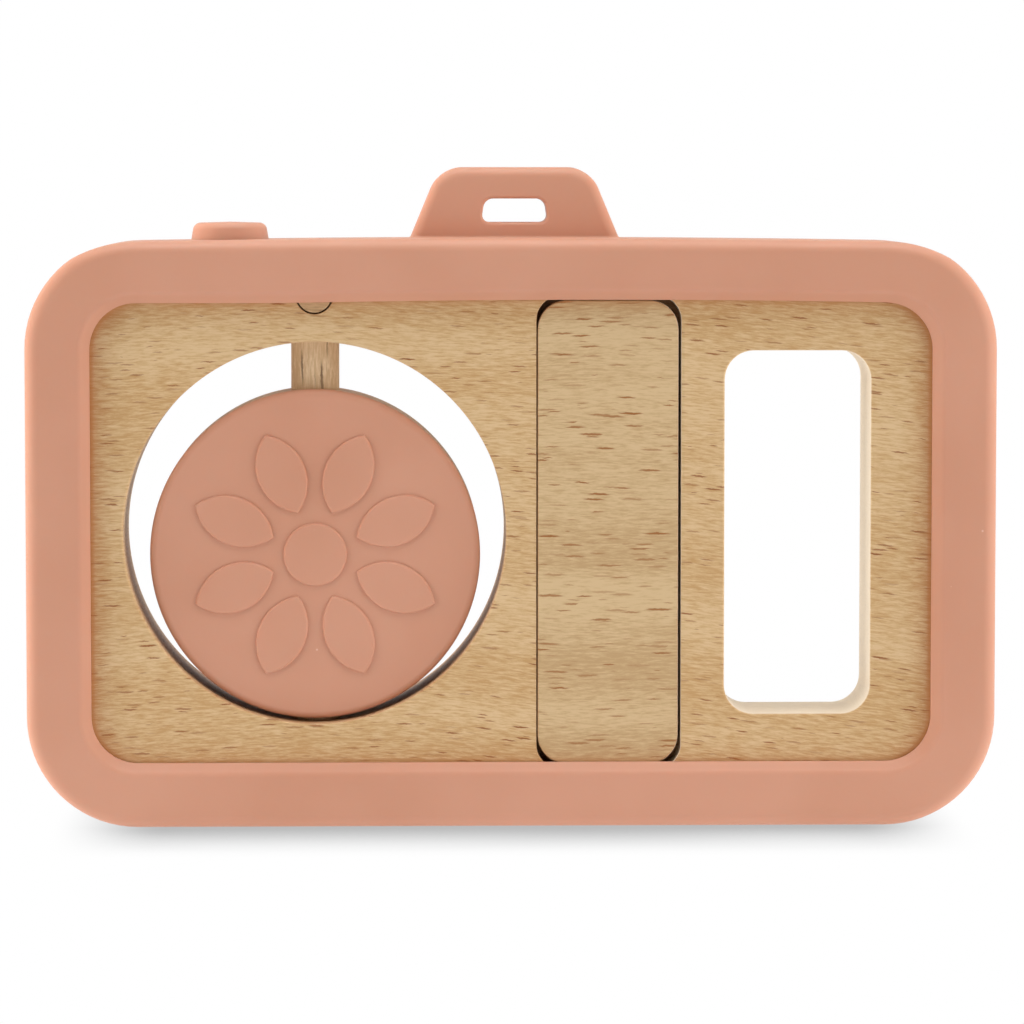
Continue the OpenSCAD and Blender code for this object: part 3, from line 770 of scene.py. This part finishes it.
class TOYCAMERA_OT_plate(bpy.types.Operator):
    """Cuts the beech plate with its windows, pocket, bores and well"""

    bl_idname = "toy_camera.plate"
    bl_label = "Plate"

    def execute(self, context):
        settings = context.scene.toy_camera
        sizes = settings.plate
        corner = settings.bumper.corner_radius - (PLATE_LOW.x - BUMPER_LOW.x)
        bm = board(PLATE_LOW, PLATE_HIGH, corner, segments=16)
        for tool in self.cuts(settings):
            combine(bm, tool, "DIFFERENCE")
        rims = [edge for y in (PLATE_LOW.y, PLATE_HIGH.y) for edge in edges_at(bm, 1, y)]
        fine = [edge for edge in rims if self.is_fine(edge, sizes)]
        soften(bm, [edge for edge in rims if edge not in fine], sizes.rim_radius, 3)
        soften(bm, [edge for edge in fine if edge.is_valid], sizes.pocket_rim_radius, 2)
        piece = add_piece("plate_beech", bm, plate_beech(settings.colours))
        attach(piece, "camera_body")
        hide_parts("body_plate")
        return {"FINISHED"}

    def is_fine(self, edge, sizes):
        """Whether a rim on the back face belongs to the cover's pocket or the peg's hole."""
        middle = (edge.verts[0].co + edge.verts[1].co) / 2
        in_pocket = COVER_LOW.x - sizes.rim_radius < middle.x < COVER_HIGH.x + sizes.rim_radius
        by_peg = PEG_LOW.x - sizes.rim_radius < middle.x < PEG_HIGH.x + sizes.rim_radius
        at_peg = by_peg and middle.z > PEG_LOW.z - TINY
        outside = middle.z > PLATE_HIGH.z - TINY or middle.z < PLATE_LOW.z + TINY
        return middle.y < 0 and (in_pocket or at_peg) and not outside

    def cuts(self, settings):
        """All that is milled or drilled out of the plate."""
        sizes = settings.plate
        back, front = PLATE_LOW.y, PLATE_HIGH.y
        over = Vector((0, front, 0))
        middle_z = PLATE_MIDDLE.z
        yield rod(sizes.window_radius, (LENS_X, 2 * back, middle_z), (LENS_X, 2 * front, middle_z), 160)
        half = Vector((sizes.viewfinder_width / 2, 2 * front, sizes.viewfinder_height / 2))
        centre = Vector((sizes.viewfinder_x, 0, middle_z))
        yield board(centre - half, centre + half, sizes.viewfinder_radius)
        room = Vector((sizes.cover_side_gap, 0, sizes.cover_end_gap))
        yield board(COVER_LOW - room - over, COVER_HIGH + room, sizes.pocket_radius)
        gap = Vector((sizes.slide_gap,) * 3)
        travel = Vector((0, 0, TRAVEL["slider_travel"]))
        yield board(SHOE_LOW - gap - over, SHOE_HIGH + gap + travel, sizes.channel_radius)
        slot = settings.wood.stem_diameter / 2 + sizes.slide_gap
        low = (SLIDER_X - slot, 0, SHOE_Z - slot)
        high = (SLIDER_X + slot, 2 * front, SHOE_Z + travel.z + slot)
        # Just short of fully round ends, which would leave a side of no length
        yield board(low, high, slot * 0.999, 16)
        bore = AXLE_RADIUS + sizes.bore_gap
        yield rod(bore, (LENS_X, 0, AXLE_LOW.z - sizes.slide_gap), (LENS_X, 0, RING_TOP))
        peg_z = PEG_Z + settings.wood.peg_rise
        yield rod(PEG_RADIUS + sizes.peg_gap, (LENS_X, 2 * back, peg_z), (LENS_X, 0, peg_z), 48)
        yield rod(FLANGE_RADIUS + sizes.well_gap, (BUTTON_X, 0, CONE_LOW.z), (BUTTON_X, 0, RING_TOP))


class TOYCAMERA_OT_cover(bpy.types.Operator):
    """Makes the beech strip that closes the slider's channel at the back"""

    bl_idname = "toy_camera.cover"
    bl_label = "Back cover"

    def execute(self, context):
        settings = context.scene.toy_camera
        bm = board(COVER_LOW, COVER_HIGH, settings.wood.cover_radius, segments=12)
        edges = edges_at(bm, 1, COVER_LOW.y) + edges_at(bm, 1, COVER_HIGH.y)
        soften(bm, edges, settings.wood.cover_edge_radius, 3)
        bmesh.ops.translate(bm, vec=(-settings.wood.cover_shift, 0, 0), verts=bm.verts[:])
        piece = add_piece("cover_beech", bm, cover_beech(settings.colours))
        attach(piece, "camera_body")
        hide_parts("back_cover")
        return {"FINISHED"}


class TOYCAMERA_OT_dowels(bpy.types.Operator):
    """Turns the dowel that carries the disc, and the peg that locks it"""

    bl_idname = "toy_camera.dowels"
    bl_label = "Dowel and peg"

    def execute(self, context):
        settings = context.scene.toy_camera
        wood = settings.wood
        neck = wood.neck_diameter / 2
        peg_z = PEG_Z + wood.peg_rise
        neck_low = peg_z - wood.neck_height / 2
        neck_high = neck_low + wood.neck_height
        chamfer = wood.dowel_chamfer
        profile = [(0, AXLE_LOW.z), (AXLE_RADIUS, AXLE_LOW.z, chamfer, 3), (AXLE_RADIUS, neck_low),
                   (neck, neck_low), (neck, neck_high), (AXLE_RADIUS, neck_high),
                   (AXLE_RADIUS, AXLE_HIGH.z, chamfer, 3), (0, AXLE_HIGH.z)]
        bm = turned(profile, (LENS_X, 0, 0), (0, 0, 1), 64)
        dowel = add_piece("dowel_beech", bm, dowel_beech(settings.colours))
        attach(dowel, "axle")
        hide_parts("lens_axle")
        profile = [(0, PEG_LOW.y), (PEG_RADIUS, PEG_LOW.y, wood.peg_chamfer, 3),
                   (PEG_RADIUS, PEG_HIGH.y, wood.peg_chamfer, 3), (0, PEG_HIGH.y)]
        bm = turned(profile, (LENS_X, 0, peg_z), (0, 1, 0), 48)
        peg = add_piece("peg_beech", bm, end_beech(settings.colours))
        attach(peg, "camera_body")
        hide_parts("axle_peg")
        return {"FINISHED"}


class TOYCAMERA_OT_disc_core(bpy.types.Operator):
    """Turns the beech core of the lens disc and bores it for the dowel"""

    bl_idname = "toy_camera.disc_core"
    bl_label = "Disc core"

    def execute(self, context):
        settings = context.scene.toy_camera
        radius = CORE_RADIUS - settings.caps.shrink
        middle = (CORE_LOW + CORE_HIGH) / 2 - Vector((0, 0, settings.caps.drop))
        chamfer = settings.wood.core_chamfer
        profile = [(0, CORE_LOW.y), (radius, CORE_LOW.y, chamfer, 2), (radius, CORE_HIGH.y, chamfer, 2),
                   (0, CORE_HIGH.y)]
        bm = turned(profile, middle, (0, 1, 0), 160)
        bore = rod(AXLE_RADIUS + settings.plate.bore_gap, (LENS_X, 0, CORE_LOW.z - radius),
                   (LENS_X, 0, CORE_HIGH.z + radius))
        combine(bm, bore, "DIFFERENCE")
        piece = add_piece("disc_core_beech", bm, plate_beech(settings.colours))
        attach(piece, "disc")
        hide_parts("lens_core")
        return {"FINISHED"}


class TOYCAMERA_OT_disc_caps(bpy.types.Operator):
    """Moulds the silicone caps of the lens disc: a daisy on the back, lens rings on the front"""

    bl_idname = "toy_camera.disc_caps"
    bl_label = "Disc caps"

    def execute(self, context):
        settings = context.scene.toy_camera
        caps = settings.caps
        radius = CORE_RADIUS - caps.shrink
        middle = (CORE_LOW + CORE_HIGH) / 2 - Vector((0, 0, caps.drop))
        face = CORE_LOW.y - caps.thickness
        pad = [(0, 0), (radius, 0), (radius, caps.thickness, caps.rim_radius, 6), (0, caps.thickness)]
        bm = turned(pad, (middle.x, CORE_LOW.y, middle.z), (0, -1, 0), 160)
        for relief in self.daisy(caps, face, DAISY_TOP_Y, middle):
            combine(bm, relief, "UNION")
        back = add_piece("disc_back_silicone", bm, silicone(settings.colours))
        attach(back, "disc")
        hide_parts("lens_back_cap")
        profile = [(0, 0)] + self.lens_profile(caps, radius)
        bm = turned(profile, (middle.x, CORE_HIGH.y, middle.z), (0, 1, 0), 160)
        front = add_piece("disc_front_silicone", bm, silicone(settings.colours))
        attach(front, "disc")
        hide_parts("lens_front_cap")
        return {"FINISHED"}

    def daisy(self, caps, face, top, middle):
        """The eye and the petals, each a low solid with soft edges that stands on the cap's face."""
        foot = face + caps.thickness / 2
        bm = rod(caps.eye_radius, (middle.x, foot, middle.z), (middle.x, top, middle.z), 64)
        soften(bm, edges_at(bm, 1, top), caps.relief_radius, 4)
        yield bm
        length = caps.petal_end - caps.petal_start
        bend = (length ** 2 + caps.petal_width ** 2) / (4 * caps.petal_width)
        half_angle = math.asin(length / 2 / bend)
        for i in range(caps.petals):
            bm = bmesh.new()
            tip = bm.verts.new((0, 0, caps.petal_start))
            start = Vector((bend - caps.petal_width / 2, 0, (caps.petal_start + caps.petal_end) / 2))
            bmesh.ops.spin(bm, geom=[tip], cent=start, axis=(0, 1, 0), angle=2 * half_angle, steps=14)
            bmesh.ops.mirror(bm, geom=bm.verts[:] + bm.edges[:], axis="X", merge_dist=TINY)
            bmesh.ops.remove_doubles(bm, verts=bm.verts[:], dist=TINY)
            bmesh.ops.contextual_create(bm, geom=bm.edges[:])
            thicken(bm, top, foot)
            soften(bm, edges_at(bm, 1, top), caps.relief_radius, 4)
            turn = Matrix.Rotation(math.tau * (i + 0.5) / caps.petals, 4, "Y")
            place = Matrix.Translation((middle.x, 0, middle.z))
            bmesh.ops.transform(bm, matrix=place @ turn, verts=bm.verts[:])
            yield bm

    def lens_profile(self, caps, radius):
        """Half section of the front face, from the rim to the middle: two raised rings and a low dome."""
        low = caps.thickness
        rise = DOME_TOP_Y - CORE_HIGH.y
        # The rings are as high as the daisy
        ring_top = low + (CORE_LOW.y - caps.thickness - DAISY_TOP_Y)
        soft = caps.relief_radius
        points = [(radius, 0), (radius, low, caps.rim_radius, 6)]
        for outer in (caps.outer_ring, caps.inner_ring):
            inner = outer - caps.ring_width
            points += [(outer, low), (outer, ring_top, soft, 4), (inner, ring_top, soft, 4), (inner, low)]
        half = caps.glass_radius / 2
        # The dome is rounded nearly all the way to its middle
        return points + [(caps.glass_radius, low), (half, rise, half * 0.98, 12), (0, rise)]


class TOYCAMERA_OT_slider(bpy.types.Operator):
    """Turns the knob, and finishes the shoe that holds it in the channel"""

    bl_idname = "toy_camera.slider"
    bl_label = "Slider"

    def execute(self, context):
        settings = context.scene.toy_camera
        wood = settings.wood
        head = (KNOB_HIGH.x - KNOB_LOW.x) / 2
        stem = wood.stem_diameter / 2
        tenon = wood.tenon_diameter / 2
        head_back = PLATE_HIGH.y + settings.plate.slide_gap
        profile = [(0, KNOB_LOW.y), (tenon, KNOB_LOW.y), (tenon, SHOE_HIGH.y), (stem, SHOE_HIGH.y),
                   (stem, head_back), (head, head_back, wood.knob_foot_radius, 4),
                   (head, KNOB_HIGH.y - wood.knob_crown, wood.knob_edge_radius, 10), (0, KNOB_HIGH.y)]
        bm = turned(profile, (SLIDER_X, 0, SHOE_Z), (0, 1, 0))
        knob = add_piece("knob_beech", bm, end_beech(settings.colours))
        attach(knob, "slider")
        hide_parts("slider_knob")
        shoe = frame["nodes"]["slider_shoe"]
        shoe.data.materials.clear()
        shoe.data.materials.append(dowel_beech(settings.colours))
        return {"FINISHED"}


class TOYCAMERA_OT_button(bpy.types.Operator):
    """Moulds the shutter button and the hollow cone that pushes it back up"""

    bl_idname = "toy_camera.button"
    bl_label = "Shutter button"

    def execute(self, context):
        settings = context.scene.toy_camera
        sizes = settings.button
        flange_top = BUTTON_LOW.z + sizes.flange_thickness
        soft = sizes.flange_radius
        profile = [(0, BUTTON_LOW.z), (FLANGE_RADIUS, BUTTON_LOW.z, soft, 2),
                   (FLANGE_RADIUS, flange_top, soft, 2), (sizes.foot_diameter / 2, flange_top),
                   (sizes.top_diameter / 2, BUTTON_HIGH.z - sizes.crown, sizes.edge_radius, 6),
                   (0, BUTTON_HIGH.z)]
        bm = turned(profile, (BUTTON_X, 0, 0), (0, 0, 1))
        button = add_piece("button_silicone", bm, silicone(settings.colours))
        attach(button, "button")
        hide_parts("shutter_button")
        low = (CONE_HIGH.x - CONE_LOW.x) / 2
        high = sizes.cone_top_diameter / 2
        profile = [(low - sizes.cone_wall, CONE_LOW.z), (low, CONE_LOW.z, soft, 2),
                   (high, CONE_HIGH.z, soft, 2), (high - sizes.cone_wall, CONE_HIGH.z)]
        bm = turned(profile, (BUTTON_X, 0, 0), (0, 0, 1), 64)
        cone = add_piece("button_cone_silicone", bm, silicone(settings.colours))
        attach(cone, "camera_body")
        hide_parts("button_dome")
        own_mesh(cone)
        return {"FINISHED"}


OPERATORS = (TOYCAMERA_OT_stage, TOYCAMERA_OT_bumper, TOYCAMERA_OT_plate, TOYCAMERA_OT_cover,
             TOYCAMERA_OT_dowels, TOYCAMERA_OT_disc_core, TOYCAMERA_OT_disc_caps, TOYCAMERA_OT_slider,
             TOYCAMERA_OT_button)


class TOYCAMERA_PT_build(bpy.types.Panel):
    """Lists the toy camera's pieces and what can be changed on them"""

    bl_idname = "TOYCAMERA_PT_build"
    bl_label = "Toy camera"
    bl_space_type = "VIEW_3D"
    bl_region_type = "UI"
    bl_category = "Toy camera"

    def draw(self, context):
        for operator in OPERATORS:
            self.layout.operator(operator.bl_idname)
        settings = context.scene.toy_camera
        for group in settings.bl_rna.properties.keys():
            values = getattr(settings, group)
            if isinstance(values, bpy.types.PropertyGroup):
                column = self.layout.column(heading=group)
                for name in values.__annotations__:
                    column.prop(values, name)


CLASSES = (BumperSizes, LugSizes, PlateSizes, WoodSizes, CapSizes, ButtonSizes, FinishColours, StageSettings,
           ToyCameraSettings) + OPERATORS + (TOYCAMERA_PT_build,)


def register():
    for cls in CLASSES:
        bpy.utils.register_class(cls)
    bpy.types.Scene.toy_camera = PointerProperty(type=ToyCameraSettings)


def unregister():
    del bpy.types.Scene.toy_camera
    for cls in reversed(CLASSES):
        bpy.utils.unregister_class(cls)


def main():
    """Builds the toy, one operator after the other."""
    register()
    bpy.ops.toy_camera.stage()
    bpy.ops.toy_camera.bumper()
    bpy.ops.toy_camera.plate()
    bpy.ops.toy_camera.cover()
    bpy.ops.toy_camera.dowels()
    bpy.ops.toy_camera.disc_core()
    bpy.ops.toy_camera.disc_caps()
    bpy.ops.toy_camera.slider()
    bpy.ops.toy_camera.button()


if __name__ == "__main__":
    main()
